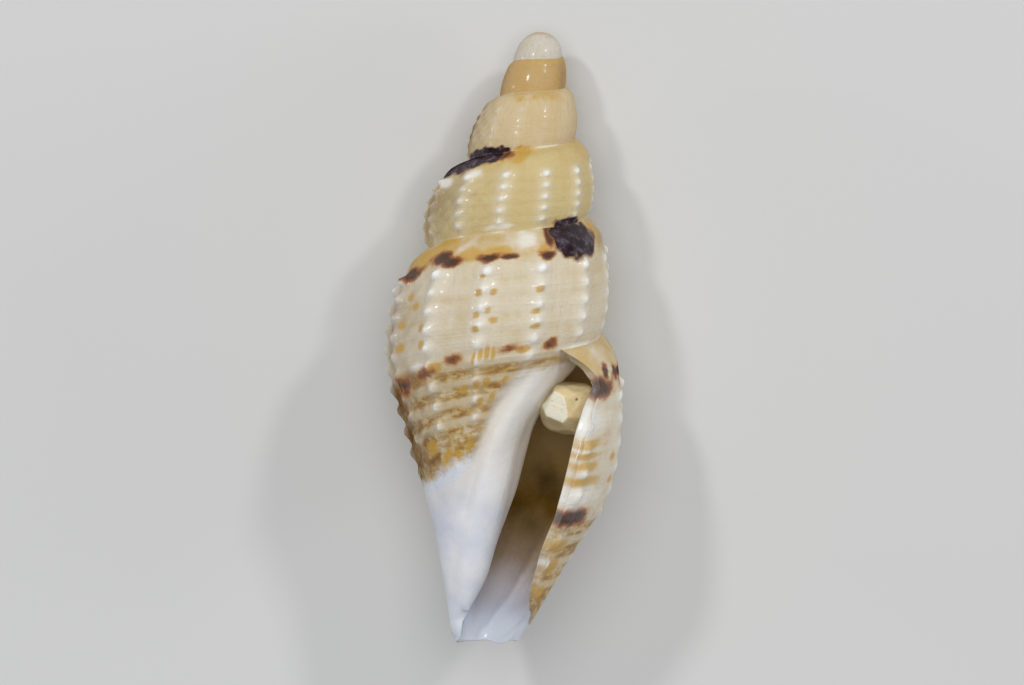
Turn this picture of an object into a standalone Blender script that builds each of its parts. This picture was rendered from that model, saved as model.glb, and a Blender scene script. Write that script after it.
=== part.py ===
"""A small turrid snail's shell, 8 mm long, lying on its back with its mouth up and its apex towards +Y.

The shell is a spiral ribbon. A place on it is given by an angle in degrees round the shell's axis, 0 at
the front, which is up here, 90 on the left, 180 at the back, and so on once more for each turn of growth,
and by a place across the whorl: 0 at the suture above it, 1 at the suture below, more on the base. Drops
are lengths along the axis, down from the apex. The axis dips towards the apex, because the shell lies on
its last two whorls. Lengths are in millimetres until a mesh is made.
"""

import bmesh
import bpy
import numpy as np
from mathutils import Euler, Matrix, Vector

MM = 0.001

# Where the apex is, over the surface the shell rests on, and how far the axis dips towards it.
APEX = (-0.133, 3.951, 0.66)
DIP = np.radians(11.0)

# The suture, at each half turn of growth from the first whorl to the last, and on past the lip.
FIRST_KNOT = -1710.0
HALF_TURN = 180.0
SUTURE_DROPS = (0.0, 0.0, 0.0, 0.10, 0.37, 0.67, 0.92, 1.32, 1.81, 2.30, 3.01, 3.82, 4.80, 6.01, 6.80)
SUTURE_RADII = (0.0, 0.0, 0.0, 0.19, 0.33, 0.41, 0.48, 0.59, 0.72, 0.89, 1.08, 1.28, 1.31, 1.57, 1.68)

# How far a whorl stands out past the line from suture to suture, in heights of the whorl.
BULGE_PLACES = (0.0, 0.06, 0.14, 0.23, 0.31, 0.45, 0.62, 0.80, 1.0)
BULGES = (0.0, 0.070, 0.126, 0.138, 0.136, 0.124, 0.096, 0.056, 0.0)
FULLNESS_ANGLES = (-1400.0, -1000.0, -700.0, -300.0, -100.0, 30.0, 200.0, 290.0)
FULLNESSES = (1.4, 1.3, 1.2, 1.4, 1.10, 1.0, 1.0, 0.83)

# How the base narrows below the last whorl, outside and on the wall inside the mouth.
BASE_PLACES = (1.0, 1.25, 1.50, 1.75, 1.90, 2.10, 2.30, 2.50, 2.75, 3.50)
BASE_WIDTHS = (1.0, 0.83, 0.675, 0.53, 0.44, 0.34, 0.245, 0.15, 0.04, -0.30)
MOUTH_WIDTHS = (1.0, 0.78, 0.575, 0.43, 0.37, 0.30, 0.22, 0.14, 0.05, -0.25)
MOUTH_ANGLES = (20.0, -60.0)

# The columella: a pillar that thins towards the tip and, growing like the rest, inwards.
PILLAR_DROPS = (4.6, 5.2, 5.84, 6.38, 6.77, 7.19, 7.61, 7.92, 8.05)
PILLAR_RADII = (0.74, 0.74, 0.67, 0.50, 0.36, 0.22, 0.075, 0.0, -0.01)
PILLAR_HALF_TURN_RATIO = 0.62
PILLAR_BLEND = 0.07

# The callus over the columella: where its outer edge runs, and how thick it is.
CALLUS_DROPS = (3.9, 4.4, 4.9, 5.78, 6.12, 6.41, 8.05)
CALLUS_EDGES = (-40.0, -24.0, -14.0, 2.0, 63.0, 150.0, 170.0)
CALLUS_SOFTNESS = 12.0
CALLUS_THICK = 0.07
CALLUS_THINS = (7.0, 7.8)

# Ribs along the shell, and cords round it with a bead on each rib.
RIB_STEP = 30.0
RIB_PHASE = 12.5
RIB_PLACES = (0.0, 0.20, 0.27, 0.354, 0.60, 0.85, 1.0, 1.30, 1.70, 1.90)
RIB_HEIGHTS = (0.0, 0.05, 0.25, 1.0, 0.95, 0.65, 0.42, 0.22, 0.08, 0.0)
RIB_RISE = 0.056
FIRST_CORD = 0.354
CORD_STEP = 0.1435
CORD_RISE = 0.010
BEAD_RISE = 0.012
SCULPTURE_START = -990.0
SCULPTURE_FULL = -680.0

# The lip: where its edge runs, how thick it is, and the swelling behind it.
LIP_ANGLE = 322.5
LIP_PLACES = (0.0, 0.10, 0.225, 0.37, 0.56, 0.94, 1.2, 1.4, 1.6, 1.8)
LIP_EDGES = (322.5, 311.0, 300.0, 307.0, 314.0, 317.0, 315.0, 310.0, 305.0, 299.0)
LIP_REACH = 90.0
LIP_ROUND = 0.25
VARIX_ANGLE = 294.0
VARIX_WIDTH = 14.0
VARIX_RISE = 0.05

# The hollow behind the mouth, and the open end of the canal.
HOLLOW_TURN = 230.0
HOLLOW_END = 60.0
CORNER_ANGLE = 302.5
CORNER_PLACE = 1.15
WALL_THICK = 0.12
CANAL_CLOSES = 152.5
CANAL_TAPER = 50.0
HOLLOW_LIFT = 0.24
END_DROP = 5.2
END_RADIUS = 0.85
ROOF_SHARE = 0.08
FLOOR_SHARE = 0.8
TIP_DROP = 8.0
TIP_SLANT = 0.05

# Columns and rows of the mesh. Rows alternate between the cords and the furrows beside them.
COLUMN_STEP = 10.0
RAMP_ROWS = (0.0, 0.08, 0.17, 0.25)
CORDED_END = FIRST_CORD + 9.5 * CORD_STEP
CORDED_ROWS = 10
TIP_ROWS = 4
WELD = 0.0001

# The grain of sand that is wedged in the upper corner of the mouth.
GRAIN_SIZE = (0.84, 0.68, 0.52)
GRAIN_PLACE = (0.955, 4.84, 0.42)
GRAIN_TURN = (0.35, -0.30, 0.20)
GRAIN_SHARPNESS = 14.0
GRAIN_SIDES = (
    ((0.1, 0.2, 0.97), 0.80),
    ((-0.75, -0.45, 0.48), 0.84),
    ((0.0, -0.95, 0.31), 0.86),
    ((-0.55, 0.80, 0.20), 0.82),
    ((0.70, 0.62, 0.35), 0.85),
    ((0.85, -0.50, -0.15), 0.84),
    ((-0.2, 0.1, -0.97), 0.80),
)

SHELL_COLOUR = (0.74, 0.62, 0.42, 1.0)
GRAIN_COLOUR = (0.80, 0.70, 0.45, 1.0)


def eased(amount):
    """0 below 0, 1 above 1, and between them the smooth step 3x^2 - 2x^3."""
    x = np.clip(amount, 0.0, 1.0)
    return x * x * (3.0 - 2.0 * x)


def through(places, values, at):
    """A smooth curve through the values, with no overshoot: cubic pieces whose slope at a place is the
    harmonic mean of the slopes on either side, or 0 at a peak."""
    places, values = np.asarray(places, float), np.asarray(values, float)
    straight = np.diff(values) / np.diff(places)
    before, after = straight[:-1], straight[1:]
    rising = before * after > 0.0
    mean = 2.0 * before * after / np.where(rising, before + after, 1.0)
    slopes = np.concatenate([straight[:1], np.where(rising, mean, 0.0), straight[-1:]])
    at = np.clip(at, places[0], places[-1])
    i = np.clip(np.searchsorted(places, at, side="right") - 1, 0, len(places) - 2)
    width, rise = places[i + 1] - places[i], values[i + 1] - values[i]
    x = (at - places[i]) / width
    start, end = slopes[i] * width, slopes[i + 1] * width
    return values[i] + x * (start + x * (3.0 * rise - 2.0 * start - end + x * (start + end - 2.0 * rise)))


def suture(angle):
    """Drop and radius of the suture at an angle of growth."""
    knots = FIRST_KNOT + HALF_TURN * np.arange(len(SUTURE_DROPS))
    return through(knots, SUTURE_DROPS, angle), through(knots, SUTURE_RADII, angle)


def callus_cover(angle, drop):
    """1 where callus covers the shell, 0 outside it, soft at its edge."""
    edge = through(CALLUS_DROPS, CALLUS_EDGES, drop)
    return 1.0 - eased((angle - edge + CALLUS_SOFTNESS) / (2.0 * CALLUS_SOFTNESS))


def sculpture(angle, place):
    """Height of ribs, cords and beads, in heights of the whorl. Both sutures stay bare."""
    wave = 0.5 + 0.5 * np.cos(2.0 * np.pi * (angle - RIB_PHASE) / RIB_STEP)
    rib = wave**1.5
    cord = 0.5 + 0.5 * np.cos(2.0 * np.pi * (place - FIRST_CORD) / CORD_STEP)
    cord = np.where((place > FIRST_CORD - 0.5 * CORD_STEP) & (place < CORDED_END), cord, 0.0)
    height = RIB_RISE * rib * through(RIB_PLACES, RIB_HEIGHTS, place) + cord * (CORD_RISE + BEAD_RISE * rib)
    uncovered = eased((angle - LIP_ANGLE + 360.0) / 30.0)
    height = height * (1.0 - (1.0 - uncovered) * eased((place - 0.85) / 0.15))
    grown = eased((angle - SCULPTURE_START) / (SCULPTURE_FULL - SCULPTURE_START))
    return height * grown


def outside(angle, place):
    """Drop and radius of the outer face: suture line, bulge and sculpture above, base and pillar below."""
    top, inner = suture(angle)
    bottom, outer = suture(angle + 360.0)
    tall = bottom - top
    drop = top + tall * place
    bulge = through(FULLNESS_ANGLES, FULLNESSES, angle) * through(BULGE_PLACES, BULGES, place)
    whorl = inner + (outer - inner) * place + tall * bulge
    in_mouth = eased((MOUTH_ANGLES[0] - angle) / (MOUTH_ANGLES[0] - MOUTH_ANGLES[1]))
    width = (1.0 - in_mouth) * through(BASE_PLACES, BASE_WIDTHS, place)
    width = width + in_mouth * through(BASE_PLACES, MOUTH_WIDTHS, place)
    pillar = through(PILLAR_DROPS, PILLAR_RADII, drop) * PILLAR_HALF_TURN_RATIO ** ((90.0 - angle) / HALF_TURN)
    on_base = eased((place - 1.0) / 0.3)
    base = outer * width
    joined = 0.5 * (base + pillar + np.hypot(base - pillar, PILLAR_BLEND))
    base = base + (joined - base) * on_base
    radius = np.where(place < 1.0, whorl, base)
    cover = callus_cover(angle, drop) * on_base
    varix = VARIX_RISE * np.exp(-(((angle - VARIX_ANGLE) / VARIX_WIDTH) ** 2)) * eased(place / 0.3)
    thick = CALLUS_THICK * (1.0 - eased((drop - CALLUS_THINS[0]) / (CALLUS_THINS[1] - CALLUS_THINS[0])))
    radius = radius + tall * sculpture(angle, place) * (1.0 - cover) + thick * cover + varix
    return drop, radius


def tip_drop(angle):
    """How far down the open end of the canal is cut: a little slanting."""
    return TIP_DROP + TIP_SLANT * np.cos(np.radians(angle))


def at_edge(angle, place):
    """Columns near the mouth, bent so that the last one follows the edge of the lip."""
    shift = through(LIP_PLACES, LIP_EDGES, place) - LIP_ANGLE
    return angle + shift * eased((angle - LIP_ANGLE + LIP_REACH) / LIP_REACH)


def laid_down(side, drop, front):
    """Model coordinates of a place beside the axis, down from the apex and in front of the axis."""
    y = APEX[1] - drop * np.cos(DIP) + front * np.sin(DIP)
    z = APEX[2] + drop * np.sin(DIP) + front * np.cos(DIP)
    return APEX[0] + side, y, z


def points(angle, drop, radius):
    """Model coordinates, worn flat where the back touches the surface."""
    turned = np.radians(angle)
    x, y, z = laid_down(-radius * np.sin(turned), drop, radius * np.cos(turned))
    return np.stack(np.broadcast_arrays(x, y, np.maximum(z, 0.0)), axis=-1)


def whorl_rows():
    """Places across the part of a whorl between its sutures."""
    corded = np.arange(FIRST_CORD, 0.99, 0.5 * CORD_STEP)
    return np.concatenate([RAMP_ROWS, corded, [1.0]])


def whorls():
    """The outer face between the sutures, from the apex to the lip."""
    angle = np.arange(LIP_ANGLE, FIRST_KNOT, -COLUMN_STEP)[::-1, None]
    place = whorl_rows()[None, :]
    bent = at_edge(angle, place)
    return points(bent, *outside(bent, place))


def place_at(angle, drop):
    """The place across the whorl that lies at a drop."""
    top, bottom = suture(angle)[0], suture(angle + 360.0)[0]
    return (drop - top) / (bottom - top)


def hollow_angles():
    """Columns of the hollow, from the mouth inwards."""
    return np.arange(CORNER_ANGLE, CORNER_ANGLE - HOLLOW_TURN - 1.0, -COLUMN_STEP)


def hollow_bottom(angle):
    """How far down the hollow reaches: to the open tip, and less where the canal has closed."""
    closed = eased((CANAL_CLOSES - angle) / HOLLOW_END)
    return tip_drop(angle) * (1.0 - HOLLOW_LIFT * closed)


def towards_end(angle, drop, radius):
    """Sections of the hollow shrink to a point at its inner end, as the end of an egg does."""
    end = CORNER_ANGLE - HOLLOW_TURN
    left = np.clip((angle - end) / HOLLOW_END, 0.0, 1.0)
    size = np.sqrt(1.0 - (1.0 - left) ** 2)
    return END_DROP + (drop - END_DROP) * size, END_RADIUS + (radius - END_RADIUS) * size


def base():
    """The base and the canal outside, and on into the mouth as the wall of the columella."""
    angle = np.arange(LIP_ANGLE, CORNER_ANGLE - HOLLOW_TURN - 361.0, -COLUMN_STEP)[::-1, None]
    corner = 1.0 + (CORNER_PLACE - 1.0) * eased((LIP_ANGLE - 360.0 - angle) / (LIP_ANGLE - CORNER_ANGLE))
    corded = corner + (CORDED_END - corner) * np.linspace(0.0, 1.0, CORDED_ROWS + 1)[None, :]
    in_canal = angle > CANAL_CLOSES - 360.0
    bottom = np.where(in_canal, tip_drop(angle), hollow_bottom(angle + 360.0))
    tail = CORDED_END + (place_at(angle, bottom) - CORDED_END) * np.linspace(0.0, 1.0, TIP_ROWS + 1)[None, 1:]
    place = np.concatenate([corded, tail], axis=1)
    bent = at_edge(angle, place)
    drop, radius = outside(bent, place)
    return points(bent, *towards_end(angle + 360.0, drop, radius))


def hollow_wall(rows):
    """The hollow's outer wall: the outer face set in by the wall's thickness, rounded at the corners."""
    angle = hollow_angles()[:, None]
    down = np.linspace(0.0, 1.0, rows)[None, :]
    corner = outside(angle - 360.0, CORNER_PLACE)[0]
    drop = corner + (hollow_bottom(angle) - corner) * down
    shift = through(LIP_PLACES, LIP_EDGES, place_at(angle, drop)) - CORNER_ANGLE
    bent = angle + shift * eased(down / ROOF_SHARE) * eased((angle - CORNER_ANGLE + LIP_REACH) / LIP_REACH)
    outer = outside(bent, place_at(bent, drop))[1] - WALL_THICK
    inner = outside(angle - 360.0, place_at(angle - 360.0, drop))[1]
    roof = np.sqrt(1.0 - (1.0 - np.clip(down / ROOF_SHARE, 0.0, 1.0)) ** 2)
    still_open = eased((angle - CANAL_CLOSES) / CANAL_TAPER)
    floor = 1.0 - (1.0 - still_open) * eased((down - FLOOR_SHARE) / (1.0 - FLOOR_SHARE))
    radius = inner + (outer - inner) * roof * floor
    return points(bent, *towards_end(angle, drop, radius))


def lip(whorl_grid, base_grid, wall_grid):
    """The rounded edge of the lip, from the outer face to the hollow's wall."""
    outer = np.concatenate([whorl_grid[-1], base_grid[-1, 1:]])
    inner = wall_grid[0]
    inwards = int(round((LIP_ANGLE - CORNER_ANGLE) / COLUMN_STEP))
    start = base_grid[-1 - int(round(360.0 / COLUMN_STEP)) - inwards :][: inwards + 1, 0][::-1]
    share = np.linspace(0.0, 1.0, inwards + 1)[:, None, None]
    across = outer[None] + (inner - outer)[None] * share
    normal = np.cross(np.gradient(outer, axis=0), inner - outer)
    normal /= np.maximum(np.linalg.norm(normal, axis=1, keepdims=True), 1e-9)
    swell = np.sin(np.pi * share) * LIP_ROUND * np.linalg.norm(inner - outer, axis=1)[None, :, None]
    across = across + swell * normal[None]
    near_top = 1.0 - eased(np.arange(len(outer)) / 3.0)[None, :, None]
    return across + (start - across[:, 0])[:, None] * near_top


def quads(grid):
    """Points and four-sided faces of a grid."""
    columns, rows = grid.shape[:2]
    index = np.arange(columns * rows).reshape(columns, rows)
    corners = (index[:-1, :-1], index[:-1, 1:], index[1:, 1:], index[1:, :-1])
    return grid.reshape(-1, 3), np.stack(corners, axis=-1).reshape(-1, 4)


def welded_mesh(name, grids):
    """One closed mesh of the grids, joined where their edges meet, with the end of the canal filled."""
    mesh = bmesh.new()
    for grid in grids:
        places, faces = quads(grid)
        corners = [mesh.verts.new(place * MM) for place in places]
        for face in faces:
            mesh.faces.new([corners[i] for i in face])
    bmesh.ops.remove_doubles(mesh, verts=mesh.verts, dist=WELD * MM)
    bmesh.ops.dissolve_degenerate(mesh, edges=mesh.edges, dist=WELD * MM)
    rim = [edge for edge in mesh.edges if edge.is_boundary]
    bmesh.ops.holes_fill(mesh, edges=rim, sides=0)
    bmesh.ops.triangulate(mesh, faces=mesh.faces[:])
    bmesh.ops.recalc_face_normals(mesh, faces=mesh.faces[:])
    data = bpy.data.meshes.new(name)
    mesh.to_mesh(data)
    mesh.free()
    return data


def material(name, colour, roughness):
    """A Principled material of one colour."""
    made = bpy.data.materials.new(name)
    made.use_nodes = True
    shader = made.node_tree.nodes["Principled BSDF"]
    shader.inputs["Base Color"].default_value = colour
    shader.inputs["Roughness"].default_value = roughness
    return made


def shell():
    """The shell, one closed solid."""
    whorl_grid, base_grid = whorls(), base()
    rows = whorl_grid.shape[1] + base_grid.shape[1] - 1
    wall_grid = hollow_wall(rows)
    lip_grid = lip(whorl_grid, base_grid, wall_grid)
    data = welded_mesh("shell", [whorl_grid, base_grid, wall_grid, lip_grid])
    data.materials.append(material("glossy shell", SHELL_COLOUR, 0.25))
    data.shade_smooth()
    data.set_sharp_from_angle(angle=np.radians(50.0))
    return bpy.data.objects.new("shell", data)


def grain():
    """The grain of sand: a ball trimmed by a few planes, so that it has faces and rounded edges."""
    ball = bmesh.new()
    bmesh.ops.create_icosphere(ball, subdivisions=3, radius=1.0)
    for corner in ball.verts:
        way = corner.co.normalized()
        reach = [distance / way.dot(Vector(side)) for side, distance in GRAIN_SIDES if way.dot(Vector(side)) > 0.2]
        soft = sum(length**-GRAIN_SHARPNESS for length in reach + [1.0]) ** (-1.0 / GRAIN_SHARPNESS)
        corner.co = way * soft
    data = bpy.data.meshes.new("lodged_grain")
    turn = Matrix.Rotation(-DIP, 4, "X") @ Euler(GRAIN_TURN).to_matrix().to_4x4()
    ball.transform(turn @ Matrix.Diagonal((*(0.5 * MM * size for size in GRAIN_SIZE), 1.0)))
    ball.to_mesh(data)
    ball.free()
    data.materials.append(material("sand", GRAIN_COLOUR, 0.45))
    data.shade_smooth()
    grain_object = bpy.data.objects.new("lodged_grain", data)
    grain_object.location = Vector(laid_down(*GRAIN_PLACE)) * MM
    return grain_object


def main():
    for old in list(bpy.data.objects):
        bpy.data.objects.remove(old)
    parts = bpy.data.collections.new("tenaturris_shell")
    bpy.context.scene.collection.children.link(parts)
    for piece in (shell(), grain()):
        parts.objects.link(piece)


main()
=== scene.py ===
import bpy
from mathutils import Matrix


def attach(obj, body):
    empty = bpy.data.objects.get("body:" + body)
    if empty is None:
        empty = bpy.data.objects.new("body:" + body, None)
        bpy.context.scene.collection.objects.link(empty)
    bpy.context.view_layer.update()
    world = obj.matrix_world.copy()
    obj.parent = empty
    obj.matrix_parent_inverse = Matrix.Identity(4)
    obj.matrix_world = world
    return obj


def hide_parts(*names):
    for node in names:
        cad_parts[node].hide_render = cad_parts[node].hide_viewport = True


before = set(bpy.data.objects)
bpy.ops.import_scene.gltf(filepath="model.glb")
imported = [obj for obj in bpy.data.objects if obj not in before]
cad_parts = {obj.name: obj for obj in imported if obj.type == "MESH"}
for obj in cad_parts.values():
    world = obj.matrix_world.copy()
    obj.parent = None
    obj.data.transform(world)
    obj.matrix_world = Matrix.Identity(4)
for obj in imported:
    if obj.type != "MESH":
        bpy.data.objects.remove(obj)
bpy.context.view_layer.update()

import bmesh
import bpy
import numpy as np
from bpy.props import FloatProperty, FloatVectorProperty, PointerProperty
from bpy.types import Operator, Panel, PropertyGroup
from mathutils import Matrix, Vector

bl_info = {
    "name": "Turrid Shell",
    "version": (1, 0, 0),
    "blender": (4, 5, 0),
    "location": "3D View > Sidebar > Shell",
    "description": "A small turrid snail's shell that lies on its back, with a grain of sand in its mouth",
    "category": "Add Mesh",
}

# The shell is a spiral ribbon. A place on it is an angle in degrees round the axis, 0 at the front, 90 on
# the left, 180 at the back, and on once more for each turn of growth, and a place across the whorl: 0 at the
# suture above, 1 at the suture below, more on the base. Drops are lengths along the axis, down from the apex.
# Lengths are in mm. In a pair of ends, what it is about starts at the first and is complete at the second.
MM = 0.001
TURN = 360
HALF_TURN = 180
APEX = (-0.133, 3.951, 0.66)
DIP = np.radians(11)
DOWN_AXIS = np.array((0.0, -np.cos(DIP), np.sin(DIP)))

# Sutures at every half turn, and the whorls that bulge between them. The first whorl is a dome.
FIRST_KNOT = -1710
SUTURE_DROPS = (0, 0, 0, 0.28, 0.44, 0.67, 0.92, 1.32, 1.81, 2.3, 3.01, 3.82, 4.8, 6.01, 6.8)
SUTURE_RADII = (0, 0, 0, 0.29, 0.33, 0.39, 0.44, 0.59, 0.72, 0.89, 1.08, 1.28, 1.31, 1.57, 1.68)
BULGE_PLACES = (0, 0.06, 0.14, 0.23, 0.31, 0.45, 0.62, 0.8, 1)
BULGES = (0, 0.065, 0.112, 0.122, 0.123, 0.128, 0.112, 0.076, 0)
FULLNESS_ANGLES = (-1170, -990, -810, -630, -450, -270, -90, 90, 290)
FULLNESSES = (0.75, 0.7, 1.2, 1.3, 1.4, 1.6, 1, 1, 0.86)
DOME_ANGLES = (-1300, -1080)

# The base in radii of the suture, outside and in the mouth, and the pillar that it is blended with.
BASE_PLACES = (1, 1.25, 1.5, 1.75, 1.9, 2.1, 2.3, 2.5, 2.75, 3.5)
BASE_WIDTHS = (1, 0.83, 0.675, 0.53, 0.44, 0.34, 0.245, 0.15, 0.04, -0.3)
MOUTH_WIDTHS = (1, 0.78, 0.575, 0.43, 0.37, 0.3, 0.22, 0.14, 0.05, -0.25)
MOUTH_ANGLES = (20, -60)
PILLAR_DROPS = (4.6, 5.2, 5.84, 6.38, 6.77, 7.19, 7.61, 7.92, 8.05)
PILLAR_RADII = (0.74, 0.74, 0.67, 0.5, 0.36, 0.22, 0.075, 0, -0.01)
PILLAR_ANGLE = 90
PILLAR_HALF_TURN_RATIO = 0.62
PILLAR_BLEND = 0.07
BASE_BLEND = 0.3

# Callus on the columella, with a ridge beside the mouth and a furrow at the ridge's left.
CALLUS_DROPS = (3.9, 4.4, 4.75, 5.07, 5.4, 5.78, 6.12, 6.41, 8.05)
CALLUS_EDGES = (-30, -13, -5, 1, 8, 20, 63, 150, 170)
CALLUS_SOFTNESS = 12
CALLUS_THICK = 0.05
CALLUS_THINS = (7, 7.8)
CALLUS_SIDES = (-25, 45)
CALLUS_FILM = 0.12
RIDGE_DROPS = (4.2, 4.8, 5.2, 5.6, 6.4, 6.8, 7.2, 7.7)
RIDGE_ANGLES = (-40, -29, -22, -18, -17, -14, -12, -10)
RIDGE_STARTS = (4.3, 4.9)
RIDGE_WIDTH = 0.22
RIDGE_RISE = 0.055
FURROW_ASIDE = 0.33
FURROW_WIDTH = 0.1
FURROW_DEPTH = 0.06
FURROW_FADES = (5.9, 6.7)
LEAST_RADIUS = 0.05

# Ribs along the shell, cords round it, and beads where they cross. Rises are in heights of the whorl.
RIB_STEP = 30
RIB_SHARPNESS = 1.9
RIB_PHASE = 12.5
RIB_PLACES = (0, 0.15, 0.21, 0.3, 0.6, 0.85, 1, 1.3, 1.7, 1.9)
RIB_HEIGHTS = (0, 0.05, 0.25, 1, 0.95, 0.65, 0.42, 0.22, 0.08, 0)
RIB_TINTS = (0, 0.05, 0.25, 1, 0.95, 0.85, 0.8, 0.7, 0.4, 0)
RIB_RISE = 0.036
FIRST_CORD = 0.305
CORD_STEP = 0.1435
CORD_RISE = 0.0045
BEAD_RISE = 0.034
BEAD_WIDTH = 2.9
BEAD_SHARPNESS = 1.3
KNOB_SHARE = 0.6
KNOB_WIDTH = 0.06
CORD_FADES = (1.45, 1.72)
COVERED_PLACES = (0.85, 1)
LAST_TURN_EASE = 30
SCULPTURE_ENDS = (-840, -380)
SMOOTH_ANGLE = 285
SMOOTH_WIDTH = 26
SMOOTHING = 0.7

# The lip, and the varix behind it.
LIP_ANGLE = 322.5
LIP_PLACES = (0, 0.1, 0.225, 0.37, 0.56, 0.94, 1.2, 1.4, 1.57, 1.7, 1.78)
LIP_EDGES = (322.5, 311, 302, 309, 315, 318, 316, 309, 298.5, 286, 277)
LIP_REACH = 90
LIP_ROUND = 0.38
LIP_TOP_ROWS = 12
VARIX_ANGLE = 285
VARIX_WIDTH = 14
VARIX_RISE = 0.04
VARIX_TOP = 0.3

# The hollow behind the mouth, which ends like an egg, and the open end of the canal.
CORNER_ANGLE = 302.5
CORNER_PLACE = 1.15
INNER_END = 72.5
HOLLOW_END = 60
WALL_THICK = 0.12
CANAL_CLOSES = 152.5
CANAL_TAPER = 50
HOLLOW_LIFT = 0.24
END_DROP = 5.2
END_RADIUS = 0.85
ROOF_SHARE = 0.08
FLOOR_SHARE = 0.8
TIP_ANGLES = (-207.5, -150, -60, 30, 90, 130, CANAL_CLOSES, 200, 222, 240, 258, 268, 277, 290)
TIP_DROPS = (7.96, 7.75, 7.62, 7.62, 7.71, 7.88, 7.96, 8.01, 7.975, 7.99, 7.93, 7.85, 7.74, 7.66)
THIN_LENGTH = 0.4
THIN_SHARE = 0.7
ROOF_EASE = 0.02

# The mesh: degrees to a column, rows, faces, and how near points are joined.
COLUMN_STEP = 1.25
RAMP_ROWS = 8
ROWS_A_CORD = 5
CORDS = 9.5
TAIL_ROWS = 24
EDGE_ROUNDS = 6
OUTER, MOUTH, WALL, LIP, RIM = 0.0, 1.0, 2.0, 3.0, 4.0
RIM_PLACE = 2.4
RIM_ROWS, RIM_SWELL = 4, 0.3
PILLAR_END_ROWS, PILLAR_END_SWELL = 8, 0.12
WELD = 0.00002

# Where the colours lie. A spot is angle, place, half angle, half place and for some its strength. Its edge is
# made uneven by sine waves: height, waves to a radian and to a place, and shift.
DROP_SCALE = 8
RAMP_ENDS = (0.1, 0.24)
BASE_EDGE = 0.1
MOUTH_DARKENS = (-75, -130)
CANAL_ANGLES = (-60, 5, 14, 30, 50, 75, 100, 180, 250, 300)
CANAL_STARTS = (1.96, 1.9, 1.77, 1.76, 1.77, 1.76, 1.69, 1.65, 1.67, 1.82)
CANAL_SOFTNESS = 0.3
SPOTS = {
    "dark": (
        (-282, 0.13, 23, 0.145), (-304, 0.09, 17, 0.145), (-322, 0.04, 17, 0.12), (-668, 0.975, 36, 0.085),
        (-37, 0.09, 11, 0.16), (-51, 0.12, 14, 0.145), (-403, 0.97, 14, 0.07),
    ),
    "brown": (
        (45, 0.175, 9, 0.06), (37, 0.21, 9, 0.045), (13, 0.2, 7, 0.034), (2, 0.198, 8, 0.022),
        (68, 0.255, 9, 0.06), (27, 0.985, 7, 0.055, 0.64), (47, 1.05, 8, 0.06, 0.64),
        (70, 1.09, 11, 0.08, 0.7), (-5, 0.945, 7, 0.05, 0.58), (-29, 0.935, 6, 0.055, 0.7),
        (-24, 0.06, 4, 0.11), (-22, 0.205, 6, 0.035), (-339, 0.05, 8, 0.07), (306, 0.243, 19, 0.064),
        (311, 1.01, 15, 0.062), (296, 0.15, 3, 0.05), (286, 0.17, 2, 0.05),
    ),
    "gold": (
        (-352, 0.05, 15, 0.12), (-715, 0.97, 12, 0.05), (-702, 0.13, 6, 0.06, 0.7),
        (-722, 0.11, 6, 0.06, 0.6), (-747, 0.12, 6, 0.06, 0.6), (48, 0.08, 16, 0.11), (26, 0.17, 12, 0.06),
        (64, 0.17, 12, 0.1), (10, 0.16, 12, 0.05), (-20, 0.18, 5, 0.06), (15, 0.345, 2.2, 0.022),
        (15, 0.475, 2.6, 0.03), (7.5, 0.478, 2.3, 0.028), (15, 0.652, 2.6, 0.028), (9, 0.62, 1.8, 0.018),
        (6, 0.7, 2.8, 0.026), (14, 0.765, 2.6, 0.028), (-17.5, 0.475, 2.8, 0.026), (-17, 0.652, 3, 0.024),
        (-17, 0.774, 3.2, 0.024), (56, 0.53, 3, 0.03), (48, 0.71, 3, 0.035), (47, 0.83, 3.2, 0.035),
        (62, 0.45, 3, 0.03), (66, 0.66, 3.4, 0.03), (66, 0.82, 4.2, 0.04), (14, 0.985, 1.5, 0.06),
        (10.5, 0.975, 1.4, 0.06), (7, 0.965, 1.5, 0.06), (3.5, 0.96, 1.3, 0.055), (-13, 0.955, 5, 0.03),
        (38, 1.02, 5, 0.04), (12, 1.2, 2.8, 0.038), (6, 1.18, 2.6, 0.038), (-6, 1.19, 2.4, 0.03),
        (21, 1.21, 4, 0.03), (1, 1.31, 2.4, 0.028), (9, 1.33, 3, 0.032), (30, 1.71, 8, 0.055),
        (17, 1.66, 4.5, 0.06), (40, 1.675, 7, 0.05), (56, 1.56, 8, 0.06), (311, 0.565, 13, 0.032),
        (311, 0.635, 13, 0.026), (311, 0.7, 13, 0.026), (311, 0.79, 13, 0.03), (309, 1.19, 10, 0.05),
        (305, 1.33, 8, 0.05), (302, 1.5, 7, 0.05),
    ),
    # White marks are pale patches, pale lines along the sutures and the lip's pale bands; the two on the
    # shoulder knobs, near place 0.3, are painted highlights.
    "white": (
        (-8, 0.08, 7.5, 0.075), (-319, 0.27, 8, 0.06), (-294, 0.33, 8, 0.065), (52, 0.98, 6, 0.03),
        (-348, 0.925, 11, 0.035), (-52, 0.99, 16, 0.018), (-745, 0.985, 16, 0.025), (312, 0.42, 15, 0.1),
        (311, 0.89, 15, 0.065),
    ),
}
SPOT_EDGES = {"dark": 2, "brown": 1, "gold": 1.4, "white": 1.4}
SPOT_WAVES = ((0.25, 19, 23, 0), (0.18, 31, -41, 1), (0.07, 67, 59, 0))
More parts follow.
